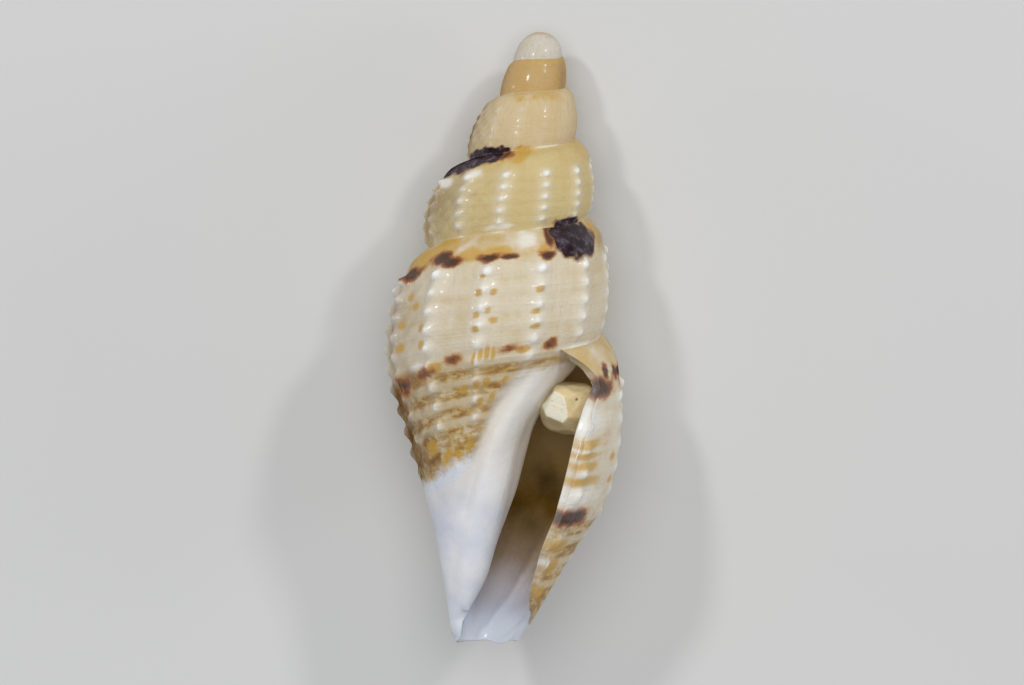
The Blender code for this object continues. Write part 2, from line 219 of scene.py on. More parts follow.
# Painted shade on the sides of the whorls, where they turn away: spots as above, each with its strength.
SIDE_SHADING = (
    (92, 1.13, 30, 0.16, 1), (92, 1.38, 27, 0.18, 1), (88, 1.58, 27, 0.13, 0.9), (63, 1.06, 14, 0.07, 0.9),
    (60, 1.51, 11, 0.07, 0.8), (60, 1.65, 11, 0.05, 0.8), (-618, 0.45, 34, 0.5, 0.8),
    (-284, 0.55, 30, 0.4, 0.6), (-303, 0.6, 9, 0.25, 0.28), (80, 0.6, 20, 0.45, 0.5),
    (-76, 0.1, 12, 0.14, 0.45), (-61, 0.07, 10, 0.11, 0.35), (-1000, 0.6, 20, 0.6, 0.3),
    (-1140, 0.6, 16, 0.6, 0.35),
)
INNER_STAINS = (
    (219, 1.05, 10, 0.085, 0.9), (227, 1.1, 7, 0.06, 0.6), (221, 1.32, 9, 0.06, 0.5),
    (207, 1.28, 8, 0.08, 0.35),
)

# Spots behind, at each rib: blotches with the share of draws that they and those before them take, place and
# half place; rows of dots with their share, distance from the rib and half widths; and a band's brown share,
# place and half place. Shifts and widths are drawn between two ends.
BEHIND_SEED = 11
BEHIND_ANGLES = (102.5, 290)
BEHIND_SHIFTS = (-9, 9)
BEHIND_WIDTHS = (7, 14)
DOT_SHIFTS = (-1.5, 1.5)
BEHIND_BLOTCHES = ((0.3, "dark", 0.09, 0.1), (0.8, "brown", 0.175, 0.032), (1, "gold", 0.06, 0.07))
BEHIND_DOTS = (4, 0.55, 5.5, 2.4, 0.028)
BEHIND_BAND = (0.6, 0.98, 0.045)

# Tones. Those of the whorls go by turns of growth, from the first of two ends to the second, and the inner
# ones by drop.
TONE_TURNS = (-5, 1)
TONES = (
    (0.1, (0.66, 0.64, 0.58)), (0.225, (0.62, 0.58, 0.5)), (0.265, (0.5, 0.3, 0.1)),
    (0.37, (0.56, 0.36, 0.14)), (0.45, (0.62, 0.48, 0.28)), (0.56, (0.65, 0.53, 0.33)),
    (0.65, (0.6, 0.48, 0.22)), (0.75, (0.67, 0.57, 0.33)), (0.8, (0.68, 0.6, 0.45)),
    (0.98, (0.68, 0.62, 0.5)),
)
# The dark marks: near black, with lavender specks that are a painted highlight of their gloss.
DARK_TONES_AND_GLINTS = ((0.34, (0.006, 0.003, 0.005)), (0.52, (0.03, 0.012, 0.018)), (0.7, (0.1, 0.08, 0.12)))
BROWN_TONES = ((0.22, (0.56, 0.31, 0.08)), (0.45, (0.32, 0.11, 0.035)), (0.72, (0.055, 0.016, 0.012)))
NET_TONES = ((0.38, (0.62, 0.47, 0.21)), (0.48, (0.5, 0.31, 0.08)), (0.58, (0.3, 0.13, 0.012)))
INNER_TONES = (
    (0.55, (0.84, 0.65, 0.33)), (0.7, (0.5, 0.33, 0.12)), (0.765, (0.23, 0.125, 0.015)),
    (0.8, (0.34, 0.22, 0.09)), (0.865, (0.44, 0.34, 0.25)), (0.905, (0.62, 0.58, 0.6)),
    (0.96, (0.56, 0.6, 0.7)),
)
CALLUS_TONES = ((0.3, (0.76, 0.7, 0.61)), (0.66, (0.84, 0.8, 0.73)))
CANAL_PALE = (0.78, 0.8, 0.84)
# Bead tips: their own white, with a painted highlight on top of it.
BEAD_TIP_AND_HIGHLIGHT = (0.93, 0.92, 0.89)
# The callus's ridge is painted paler than the callus, as light on its rounded top.
RIDGE_PAINTED_LIGHT = (0.93, 0.92, 0.9)
FRINGE = (0.26, 0.1, 0.03)
RIM_TONE = (0.6, 0.63, 0.71)
SMUDGE = (0.06, 0.035, 0.015)
TIP_TONE = (0.66, 0.7, 0.78)
COAT, SPECULAR, AWAY = 0.35, 0.5, (0.35, 0.85)
SHELL_SURFACE = {
    "IOR": 1.25, "Coat Roughness": 0.15, "Subsurface Weight": 0.16, "Subsurface Radius": (1, 0.72, 0.45),
    "Subsurface Scale": 0.00025,
}
BUMP_DISTANCE = 0.00002

# The grain of sand. A plane is a direction, right, up and towards the camera, and a distance in grain sizes.
GRAIN_SIZE = 0.8
GRAIN_PLACE = (0.955, 4.84, 0.42)
GRAIN_SHARPNESS = 40
GRAIN_SIDES = (
    ((0.04, 0.98, 0.15), 0.4), ((-0.82, 0.5, 0.27), 0.37), ((-0.88, -0.36, 0.3), 0.36),
    ((-0.52, -0.76, 0.38), 0.3), ((-0.22, -0.95, 0.2), 0.35), ((0.97, -0.1, 0.2), 0.42),
    ((-0.5, -0.1, 0.86), 0.27), ((0.3, 0.06, 0.95), 0.31), ((0.05, 0.7, 0.71), 0.37),
    ((0.18, -0.66, 0.73), 0.33), ((0, 0, -1), 0.3), ((-0.5, 0.3, -0.81), 0.33), ((0.6, -0.4, -0.69), 0.36),
)
GRAIN_ROUND = 0.56
GRAIN_PITS = 0.01
GRAIN_WAVES = ((11, 5, 0), (0, 10, -7))
GRAIN_COLUMNS = 120
LEAST_TILT = 0.2
PALE_SIDE = 6
PALE_EDGE = (0.98, 1.02)
SPECK_SIDE = (0.5, 0.44, 0.745)
SPECK_WIDTH = 0.06
SPECK_TONE = (0.03, 0.02, 0.02)
PIT_TONE = (0.42, 0.3, 0.13)
GRAIN_SHADE = 0.78
GRAIN_SURFACE = {"Subsurface Weight": 0.25, "Subsurface Radius": (1, 0.8, 0.5), "Subsurface Scale": 0.0002}

# The stage in metres: the camera sees 13.39 mm across. A lamp is its place across, above and out from the
# middle, its power and its width. Only lamps smaller than SHEEN_SIZE show in the shell's gloss.
VIEW_LEAN = np.radians(7.65)
VIEW_MIDDLE = (0.145, 4.076, 0)
VIEW_WIDTH = 0.01339
SENSOR = 36
CLIP_ENDS = (0.01, 10)
SKY_TONE = (0.92, 0.95, 1)
FLOOR_ROUGHNESS = 0.75
SHEEN_SIZE = 0.05
LAMPS = (
    ("left_lamp", (-0.068, 0.06, 0.13), 0.052, 0.016),
    ("right_lamp", (0.08, 0.08, 0.11), 0.052, 0.016),
    ("left_rim_lamp", (-0.15, 0.03, 0.03), 0.02, 0.016),
    ("right_rim_lamp", (0.15, -0.01, 0.05), 0.032, 0.06),
    ("front_lamp", (0, 0.03, 0.26), 0.31, 0.2),
)


def eased(amount):
    """0 below 0, 1 above 1, and between them the smooth step 3x^2 - 2x^3."""
    x = np.clip(amount, 0.0, 1.0)
    return x * x * (3.0 - 2.0 * x)


def between(at, ends):
    """0 before the first of two ends, 1 past the second, eased."""
    return eased((at - ends[0]) / (ends[1] - ends[0]))


def through(places, values, at):
    """A smooth curve through the values, with no overshoot: cubic pieces whose slope at a place is the
    harmonic mean of the slopes on either side, or 0 at a peak."""
    places, values = np.asarray(places, float), np.asarray(values, float)
    straight = np.diff(values) / np.diff(places)
    before, after = straight[:-1], straight[1:]
    rising = before * after > 0.0
    mean = 2.0 * before * after / np.where(rising, before + after, 1.0)
    slopes = np.concatenate([straight[:1], np.where(rising, mean, 0.0), straight[-1:]])
    at = np.clip(at, places[0], places[-1])
    i = np.clip(np.searchsorted(places, at, side="right") - 1, 0, len(places) - 2)
    width, rise = places[i + 1] - places[i], values[i + 1] - values[i]
    x = (at - places[i]) / width
    start, end = slopes[i] * width, slopes[i + 1] * width
    return values[i] + x * (start + x * (3.0 * rise - 2.0 * start - end + x * (start + end - 2.0 * rise)))


def suture(angle):
    """Drop and radius of the suture at an angle of growth."""
    knots = FIRST_KNOT + HALF_TURN * np.arange(len(SUTURE_DROPS))
    return through(knots, SUTURE_DROPS, angle), through(knots, SUTURE_RADII, angle)


def callus_cover(angle, drop):
    """1 where callus covers the shell, 0 outside it, soft at its edge."""
    edge = through(CALLUS_DROPS, CALLUS_EDGES, drop)
    return 1.0 - eased((angle - edge + CALLUS_SOFTNESS) / (2.0 * CALLUS_SOFTNESS))


def ridge_and_furrow(angle, drop, radius):
    """The callus's ridge beside the mouth and the furrow at its left, each from 0 to 1: exp(-d^4) and
    exp(-d^2) of the distance from the middle of each, along the surface, in widths."""
    aside = np.radians(angle - through(RIDGE_DROPS, RIDGE_ANGLES, drop)) * np.maximum(radius, LEAST_RADIUS)
    starts = between(drop, RIDGE_STARTS)
    ridge = np.exp(-((aside / RIDGE_WIDTH) ** 4)) * starts * (1.0 - between(drop, CALLUS_THINS))
    furrow = np.exp(-(((aside - FURROW_ASIDE) / FURROW_WIDTH) ** 2)) * starts
    return ridge, furrow * (1.0 - between(drop, FURROW_FADES))


def ribs_and_cords(angle, place):
    """The waves of ribs, cords and beads, each from 0 to 1: a rib is a cosine of the angle, a cord a cosine
    of the place, and a bead is narrower than both where they cross. Beads of the first cord are knobs."""
    turn = (angle - RIB_PHASE) / RIB_STEP
    rib = (0.5 + 0.5 * np.cos(2.0 * np.pi * turn)) ** RIB_SHARPNESS
    away = (turn - np.round(turn)) * RIB_STEP
    cord = 0.5 + 0.5 * np.cos(2.0 * np.pi * (place - FIRST_CORD) / CORD_STEP)
    cord = np.where(place > FIRST_CORD - 0.5 * CORD_STEP, cord, 0.0) * (1.0 - between(place, CORD_FADES))
    knobs = 1.0 + KNOB_SHARE * np.exp(-(((place - FIRST_CORD) / KNOB_WIDTH) ** 2))
    return rib, cord, np.exp(-((away / BEAD_WIDTH) ** 2)) * cord**BEAD_SHARPNESS * knobs


def sculpture(angle, place):
    """Height of ribs, cords and beads, in heights of the whorl. It is bare at the sutures, but not below on
    the last turn, and lower near the angle where the shell is smoother."""
    rib, cord, bead = ribs_and_cords(angle, place)
    chosen = bpy.context.scene.turrid_shell
    height = chosen.rib_rise * rib * through(RIB_PLACES, RIB_HEIGHTS, place)
    height = height + CORD_RISE * cord + chosen.bead_rise * bead
    last_turn = eased((angle - LIP_ANGLE + TURN) / LAST_TURN_EASE)
    height = height * (1.0 - (1.0 - last_turn) * between(place, COVERED_PLACES))
    away = (angle - SMOOTH_ANGLE + HALF_TURN) % TURN - HALF_TURN
    lowered = SMOOTHING * np.exp(-((away / SMOOTH_WIDTH) ** 2))
    return height * between(angle, SCULPTURE_ENDS) * (1.0 - lowered)


def outside(angle, place, carved=1.0):
    """Drop and radius of the outer face: suture line, bulge and sculpture above, base and pillar below.
    The first whorl is rounded over into a dome, a quarter circle in place of the straight line."""
    top, inner = suture(angle)
    bottom, outer = suture(angle + TURN)
    tall = bottom - top
    drop = top + tall * place
    bulge = through(FULLNESS_ANGLES, FULLNESSES, angle) * through(BULGE_PLACES, BULGES, place)
    first = 1.0 - between(angle, DOME_ANGLES)
    within = np.clip(place, 0.0, 1.0)
    rounded = within + (np.sqrt(within * (2.0 - within)) - within) * first
    whorl = inner + (outer - inner) * rounded + tall * bulge * (1.0 - first)
    in_mouth = between(angle, MOUTH_ANGLES)
    width = (1.0 - in_mouth) * through(BASE_PLACES, BASE_WIDTHS, place)
    width = width + in_mouth * through(BASE_PLACES, MOUTH_WIDTHS, place)
    shrunk = PILLAR_HALF_TURN_RATIO ** ((PILLAR_ANGLE - angle) / HALF_TURN)
    pillar = through(PILLAR_DROPS, PILLAR_RADII, drop) * shrunk
    on_base = eased((place - 1.0) / BASE_BLEND)
    base = outer * width
    joined = 0.5 * (base + pillar + np.hypot(base - pillar, PILLAR_BLEND))
    base = base + (joined - base) * on_base
    radius = np.where(place < 1.0, whorl, base)
    cover = callus_cover(angle, drop) * on_base
    varix = VARIX_RISE * np.exp(-(((angle - VARIX_ANGLE) / VARIX_WIDTH) ** 2)) * eased(place / VARIX_TOP)
    thick = CALLUS_THICK * (1.0 - between(drop, CALLUS_THINS))
    thick = thick * (1.0 - (1.0 - CALLUS_FILM) * between(angle, CALLUS_SIDES))
    ridge, furrow = ridge_and_furrow(angle, drop, radius)
    radius = radius + on_base * (RIDGE_RISE * ridge - FURROW_DEPTH * furrow)
    radius = radius + carved * tall * sculpture(angle, place) * (1.0 - cover) + thick * cover + varix
    return drop, radius


def tip_drop(angle):
    """How far down the open end of the canal is cut, rounded at its corners and notched in the middle."""
    return through(TIP_ANGLES, TIP_DROPS, angle)


def at_edge(angle, place):
    """Columns near the mouth, bent so that the last one follows the edge of the lip."""
    shift = through(LIP_PLACES, LIP_EDGES, place) - LIP_ANGLE
    return angle + shift * eased((angle - LIP_ANGLE + LIP_REACH) / LIP_REACH)


def laid_down(side, drop, front):
    """Model coordinates of a place beside the axis, down from the apex and in front of the axis."""
    y = APEX[1] - drop * np.cos(DIP) + front * np.sin(DIP)
    z = APEX[2] + drop * np.sin(DIP) + front * np.cos(DIP)
    return APEX[0] + side, y, z


def points(angle, drop, radius):
    """Model coordinates, worn flat where the back touches the surface."""
    turned = np.radians(angle)
    x, y, z = laid_down(-radius * np.sin(turned), drop, radius * np.cos(turned))
    return np.stack(np.broadcast_arrays(x, y, np.maximum(z, 0.0)), axis=-1)


def place_at(angle, drop):
    """The place across the whorl that lies at a drop."""
    top, bottom = suture(angle)[0], suture(angle + TURN)[0]
    return (drop - top) / (bottom - top)


def whorl_rows():
    """Places across the part of a whorl between its sutures."""
    first = FIRST_CORD - 0.5 * CORD_STEP
    ramp = np.linspace(0.0, first, RAMP_ROWS, endpoint=False)
    corded = np.arange(first, 1.0 - 0.4 * CORD_STEP / ROWS_A_CORD, CORD_STEP / ROWS_A_CORD)
    return np.concatenate([ramp, corded, [1.0]])


def columns(first, last):
    """Angles of the columns from one angle back to another."""
    return np.arange(first, last - 0.5 * COLUMN_STEP, -COLUMN_STEP)


def column_count(angle):
    """How many columns an angle spans."""
    return int(round(angle / COLUMN_STEP))


def patch(angle, place, grid, zone):
    """One grid of the surface: its points, the angle and place of each, and which face it is."""
    angle, place = np.broadcast_arrays(angle, place)
    return {"points": grid, "angle": angle, "place": place, "zone": np.full(grid.shape[:2], zone)}


def whorls():
    """The outer face between the sutures, from the apex to the lip."""
    angle = np.arange(LIP_ANGLE, FIRST_KNOT, -COLUMN_STEP)[::-1, None]
    place = whorl_rows()[None, :]
    bent = at_edge(angle, place)
    return patch(bent, place, points(bent, *outside(bent, place)), OUTER)


def hollow_bottom(angle):
    """How far down the hollow reaches: to the open tip, and less where the canal has closed."""
    closed = eased((CANAL_CLOSES - angle) / HOLLOW_END)
    return tip_drop(angle) * (1.0 - HOLLOW_LIFT * closed)


def towards_end(angle, drop, radius):
    """Sections of the hollow shrink to a point at its inner end, as the end of an egg does."""
    left = np.clip((angle - INNER_END) / HOLLOW_END, 0.0, 1.0)
    size = np.sqrt(1.0 - (1.0 - left) ** 2)
    return END_DROP + (drop - END_DROP) * size, END_RADIUS + (radius - END_RADIUS) * size


def base():
    """The base and the canal outside, and on into the mouth as the wall of the columella."""
    angle = columns(LIP_ANGLE, INNER_END - TURN)[::-1, None]
    corner = 1.0 + (CORNER_PLACE - 1.0) * eased((LIP_ANGLE - TURN - angle) / (LIP_ANGLE - CORNER_ANGLE))
    last = FIRST_CORD + CORDS * CORD_STEP
    rows = int(round((last - 1.0) / CORD_STEP * ROWS_A_CORD))
    corded = corner + (last - corner) * np.linspace(0.0, 1.0, rows + 1)[None, :]
    in_canal = angle > CANAL_CLOSES - TURN
    bent = angle
    for _ in range(EDGE_ROUNDS):
        end = bent[:, -1:]
        bottom = np.where(in_canal, tip_drop(end), hollow_bottom(angle + TURN))
        tail = last + (place_at(end, bottom) - last) * np.linspace(0.0, 1.0, TAIL_ROWS + 1)[None, 1:]
        place = np.concatenate([corded, tail], axis=1)
        bent = at_edge(angle, place)
    drop, radius = outside(bent, place)
    made = patch(bent, place, points(bent, *towards_end(angle + TURN, drop, radius)), OUTER)
    made["zone"] = np.where(angle < LIP_ANGLE - TURN, MOUTH, OUTER) + 0.0 * place
    return made


def rows_beside(edge_drops):
    """Shares of the way down the hollow that keep its rows beside those of the lip, starting from 0 at the
    corner of the mouth even where the lip's rows start above it."""
    corner = outside(CORNER_ANGLE - TURN, CORNER_PLACE)[0]
    x = (edge_drops - corner) / (edge_drops[-1] - corner)
    x = 0.5 * (x + np.hypot(x, ROOF_EASE))
    return (x - x[0]) / (x[-1] - x[0])


def hollow_wall(edge_drops):
    """The hollow's outer wall: the smooth outer face set in by the wall's thickness, rounded at the corners
    and thinner towards the open end."""
    angle = columns(CORNER_ANGLE, INNER_END)[:, None]
    down = rows_beside(edge_drops)[None, :]
    corner = outside(angle - TURN, CORNER_PLACE)[0]
    drop = corner + (hollow_bottom(angle) - corner) * down
    shift = through(LIP_PLACES, LIP_EDGES, place_at(angle, drop)) - CORNER_ANGLE
    bent = angle + shift * eased(down / ROOF_SHARE) * eased((angle - CORNER_ANGLE + LIP_REACH) / LIP_REACH)
    thin = eased(1.0 - (hollow_bottom(angle) - drop) / THIN_LENGTH)
    outer = outside(bent, place_at(bent, drop), 0.0)[1] - WALL_THICK * (1.0 - THIN_SHARE * thin)
    inner = outside(angle - TURN, place_at(angle - TURN, drop))[1]
    roof = np.sqrt(1.0 - (1.0 - np.clip(down / ROOF_SHARE, 0.0, 1.0)) ** 2)
    still_open = eased((angle - CANAL_CLOSES) / CANAL_TAPER)
    floor = 1.0 - (1.0 - still_open) * eased((down - FLOOR_SHARE) / (1.0 - FLOOR_SHARE))
    radius = inner + (outer - inner) * roof * floor
    return patch(bent, place_at(bent, drop), points(bent, *towards_end(angle, drop, radius)), WALL)


def lip(whorl_grid, base_grid, wall_grid):
    """The rounded edge of the lip, from the outer face to the hollow's wall."""
    outer = np.concatenate([whorl_grid["points"][-1], base_grid["points"][-1, 1:]])
    inner = wall_grid["points"][0]
    inwards = column_count(LIP_ANGLE - CORNER_ANGLE)
    start = base_grid["points"][-1 - column_count(TURN) - inwards :][: inwards + 1, 0][::-1]
    share = np.linspace(0.0, 1.0, inwards + 1)[:, None, None]
    across = outer[None] + (inner - outer)[None] * share
    normal = np.cross(np.gradient(outer, axis=0), inner - outer)
    normal /= np.maximum(np.linalg.norm(normal, axis=1, keepdims=True), 1e-9)
    swell = np.sin(np.pi * share) * LIP_ROUND * np.linalg.norm(inner - outer, axis=1)[None, :, None]
    across = across + swell * normal[None]
    near_top = 1.0 - eased(np.arange(len(outer)) / LIP_TOP_ROWS)[None, :, None]
    grid = across + (start - across[:, 0])[:, None] * near_top
    angle = np.concatenate([whorl_grid["angle"][-1], base_grid["angle"][-1, 1:]])[None]
    place = np.concatenate([whorl_grid["place"][-1], base_grid["place"][-1, 1:]])[None]
    return patch(angle + 0.0 * share[..., 0], place, grid, LIP)


def ruled(first, second, angle, rows, swell):
    """A strip between two rows of points, straight but for a swell downwards, sin(pi t) of the way across."""
    across = np.linspace(0.0, 1.0, rows + 1)[:, None, None]
    gap = np.linalg.norm(second - first, axis=1)[None, :, None]
    grid = first[None] + (second - first)[None] * across + np.sin(np.pi * across) * swell * gap * DOWN_AXIS
    return patch(angle[None] + 0.0 * across[..., 0], np.full(grid.shape[:2], RIM_PLACE), grid, RIM)


def canal_end(base_grid, wall_grid, lip_grid):
    """The rim of the open canal: one strip from the outer face to the hollow's wall, and one across the end
    of the columella, from its left side to its right."""
    rim, angles = base_grid["points"][:, -1], base_grid["angle"][:, -1]
    back = column_count(LIP_ANGLE - CANAL_CLOSES) + 1
    turn = column_count(TURN)
    open_wall = wall_grid["points"][: column_count(CORNER_ANGLE - CANAL_CLOSES) + 1, -1][::-1]
    inner = np.concatenate([open_wall, lip_grid["points"][:-1, -1][::-1]])
    pillar = rim[len(rim) - back - turn : len(rim) - back + 1]
    half = turn // 2
    ends = angles[len(rim) - back - half : len(rim) - back + 1]
    return [
        ruled(rim[-back:], inner, angles[-back:], RIM_ROWS, RIM_SWELL),
        ruled(pillar[half:], pillar[: half + 1][::-1], ends, PILLAR_END_ROWS, PILLAR_END_SWELL),
    ]


def quads(shape, start):
    """Four-sided faces of a grid whose first point has the number start."""
    index = start + np.arange(shape[0] * shape[1]).reshape(shape[:2])
    corners = (index[:-1, :-1], index[:-1, 1:], index[1:, 1:], index[1:, :-1])
    return np.stack(corners, axis=-1).reshape(-1, 4)


def joined(patches, fields):
    """Grids joined where their points coincide: vertex places, faces, and for each face corner its fields.
    A face whose corners fell together keeps those that differ, or goes if fewer than three do."""
    places = np.concatenate([made["points"].reshape(-1, 3) for made in patches])
    starts = np.cumsum([0] + [made["points"][..., 0].size for made in patches])
    faces = np.concatenate([quads(made["points"].shape, start) for made, start in zip(patches, starts)])
    keys = np.round(places / WELD).astype(np.int64)
    first, number = np.unique(keys, axis=0, return_index=True, return_inverse=True)[1:]
    welded = number.reshape(-1)[faces]
    differs = welded != np.roll(welded, 1, axis=1)
    crossed = (welded[:, 0] == welded[:, 2]) | (welded[:, 1] == welded[:, 3])
    kept = (differs.sum(axis=1) >= 3) & ~crossed
    welded, faces, differs = welded[kept], faces[kept], differs[kept]
    ends = np.cumsum(differs.sum(axis=1))
    polygons = np.split(welded[differs], ends[:-1])
    return places[first], polygons, fields[faces[differs]]


def closed_mesh(name, patches, fields, growth):
    """One closed mesh of the grids. Each field is a colour on the face corners, and growth, which is the
    angle in turns and the place across the whorl, is the UV map. The gap that is left is filled."""
    names = sorted(fields)
    packed = np.concatenate([fields[key] for key in names] + [growth], axis=1)
    places, polygons, corners = joined(patches, packed)
    mesh = bpy.data.meshes.new(name)
    mesh.from_pydata(places * MM, [], [polygon.tolist() for polygon in polygons])
    for i, key in enumerate(names):
        data = mesh.attributes.new(key, "FLOAT_COLOR", "CORNER").data
        data.foreach_set("color", corners[:, 4 * i : 4 * i + 4].ravel())
    mesh.uv_layers.new(name="growth").data.foreach_set("uv", corners[:, -2:].ravel())
    whole = bmesh.new()
    whole.from_mesh(mesh)
    rim = [edge for edge in whole.edges if edge.is_boundary]
    filled = bmesh.ops.holes_fill(whole, edges=rim, sides=0)["faces"]
    bmesh.ops.triangulate(whole, faces=filled)
    bmesh.ops.recalc_face_normals(whole, faces=whole.faces[:])
    if whole.calc_volume(signed=True) < 0.0:
        bmesh.ops.reverse_faces(whole, faces=whole.faces[:])
    whole.to_mesh(mesh)
    whole.free()
    spread_to_fill(mesh, len(corners), names)
    return mesh


def spread_to_fill(mesh, known, names):
    """Corners of the filled gap, which come last, take the mean of the known corners at their vertex."""
    at = np.zeros(len(mesh.loops), int)
    mesh.loops.foreach_get("vertex_index", at)
    count = np.maximum(np.bincount(at[:known], minlength=len(mesh.vertices)), 1)
    for key, kind, width in [(key, "color", 4) for key in names] + [("growth", "vector", 2)]:
        data = mesh.attributes[key].data
        values = np.zeros(len(at) * width)
        data.foreach_get(kind, values)
        values = values.reshape(-1, width)
        for i in range(width):
            total = np.bincount(at[:known], values[:known, i], minlength=len(mesh.vertices))
            values[known:, i] = (total / count)[at[known:]]
        data.foreach_set(kind, values.ravel())


def shell_patches():
    """The shell's faces: whorls, base with columella, hollow wall, lip, and the rim of the canal's end."""
    whorl_grid, base_grid = whorls(), base()
    edge = [outside(made["angle"][-1], made["place"][-1])[0] for made in (whorl_grid, base_grid)]
    wall_grid = hollow_wall(np.concatenate([edge[0], edge[1][1:]]))
    lip_grid = lip(whorl_grid, base_grid, wall_grid)
    return [whorl_grid, base_grid, wall_grid, lip_grid] + canal_end(base_grid, wall_grid, lip_grid)


def flat(patches, key):
    """The values of one kind at every point of the grids, in one column."""
    return np.concatenate([made[key].reshape(-1) for made in patches])


def spots(marks, angle, place, power=1.0):
    """The strongest of some soft spots at each point, exp(-(u (a^2 + p^2))^power), where a and p are the
    distances from its middle in its half widths, and u a sum of sine waves about 1, so that edges wander."""
    most = np.zeros_like(angle)
    uneven = 1.0
    for high, round_it, across, shift in SPOT_WAVES:
        uneven = uneven + high * np.sin(round_it * np.radians(angle) + across * place + shift)
    for middle, across, wide, tall, *strength in marks:
        away = ((angle - middle) / wide) ** 2 + ((place - across) / tall) ** 2
        most = np.maximum(most, np.exp(-((uneven * away) ** power)) * (strength[0] if strength else 1.0))
    return most


def spots_behind(kinds):
    """Spots for the side that the camera doesn't see, at each rib and strewn a little, like those in front:
    blotches on the ramp, a broken band at the widest cord, and dots between the cords."""
    strewn = np.random.default_rng(BEHIND_SEED)
    found = {kind: list(marks) for kind, marks in kinds.items()}
    rows, dotted, beside, dot_wide, dot_tall = BEHIND_DOTS
    browned, band_place, band_tall = BEHIND_BAND
    for turn in (-TURN, 0.0):
        for rib in np.arange(*BEHIND_ANGLES, RIB_STEP) + turn:
            shift, wide = strewn.uniform(*BEHIND_SHIFTS), strewn.uniform(*BEHIND_WIDTHS)
            drawn = strewn.random()
            kind, across, tall = next(blotch[1:] for blotch in BEHIND_BLOTCHES if drawn < blotch[0])
            found[kind].append((rib + shift, across, wide, tall))
            for row in range(rows):
                if strewn.random() < dotted:
                    side = strewn.choice([-beside, beside]) + strewn.uniform(*DOT_SHIFTS)
                    middle = FIRST_CORD + (row + 0.5) * CORD_STEP
                    found["gold"].append((rib + side, middle, dot_wide, dot_tall))
            if turn == 0.0:
                kind = "brown" if strewn.random() < browned else "gold"
                found[kind].append((rib + shift, band_place, 0.5 * wide, band_tall))
    return found


def shell_fields(patches):
    """What the shell's material reads at each face corner, and the growth map. Zones are callus, inside, the
    drop and the lip's face. Relief is rib, cord, bead and the ramp. Marks are dark, brown, gold and white.
    Tints are the base, the canal, painted shade at the sides with the hollow's stains, and the callus's
    ridge, painted lighter."""
    angle, place, zone = (flat(patches, key) for key in ("angle", "place", "zone"))
    drop = suture(angle)[0] + place * (suture(angle + TURN)[0] - suture(angle)[0])
    grown = between(angle, SCULPTURE_ENDS)
    rib, cord, bead = (wave * grown for wave in ribs_and_cords(angle, place))
    rib = rib * through(RIB_PLACES, RIB_TINTS, place)
    on_base = eased((place - 1.0) / BASE_EDGE)
    cover = callus_cover(angle, drop) * eased((place - 1.0) / BASE_BLEND) * (zone < WALL)
    inside = np.where(zone == MOUTH, between(angle, MOUTH_DARKENS), zone == WALL)
    marked = spots_behind(SPOTS).items()
    kinds = {kind: spots(marks, angle, place, SPOT_EDGES[kind]) for kind, marks in marked}
    canal = (place - through(CANAL_ANGLES, CANAL_STARTS, angle)) / CANAL_SOFTNESS + 0.5
    canal = np.maximum(np.clip(canal, 0.0, 1.0), zone == RIM)
    # Painted shade at the sides outside, and stains in the hollow.
    side_shade_and_inner_stain = np.where(zone == WALL, spots(INNER_STAINS, angle, place), spots(SIDE_SHADING, angle, place))
    # The ridge's field, for the painted light on it.
    ridge = ridge_and_furrow(angle, drop, outside(angle, place, 0.0)[1])[0] * on_base
    attributes = {
        "zones": (cover, inside, drop / DROP_SCALE, zone == LIP),
        "relief": (rib, cord, bead, 1.0 - between(place, RAMP_ENDS)),
        "marks": (kinds["dark"], kinds["brown"], kinds["gold"], kinds["white"]),
        "tints": (on_base, canal, side_shade_and_inner_stain, ridge),
    }
    packed = {key: np.stack(np.broadcast_arrays(*values), axis=1) for key, values in attributes.items()}
    return packed, np.stack([angle / TURN, place], axis=1)


